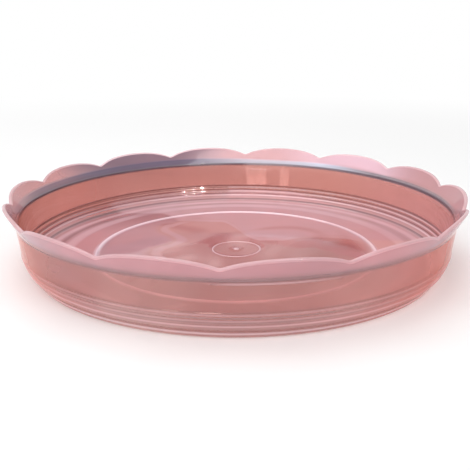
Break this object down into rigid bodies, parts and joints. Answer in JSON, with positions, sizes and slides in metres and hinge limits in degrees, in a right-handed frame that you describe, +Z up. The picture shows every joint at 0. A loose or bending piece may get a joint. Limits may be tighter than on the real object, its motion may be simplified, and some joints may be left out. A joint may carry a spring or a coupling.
{
  "type": "plant saucer",
  "caption": "Round see-through plastic plant saucer with a scalloped flared lip, a foot ring and raised rings on its floor.",
  "frame": {"origin": "centre of the plane that the foot ring stands on", "axes": "+Z up along the saucer's own axis; the bottom of one dip of the lip lies straight in front, on -Y"},
  "size_m": [0.2542, 0.2516, 0.0406],
  "materials": {
    "rose_plastic": "clear rose plastic, polished by the mould and slightly milky"
  },
  "bodies": {
    "root": {"saucer": "rose_plastic"}
  },
  "joints": []
}
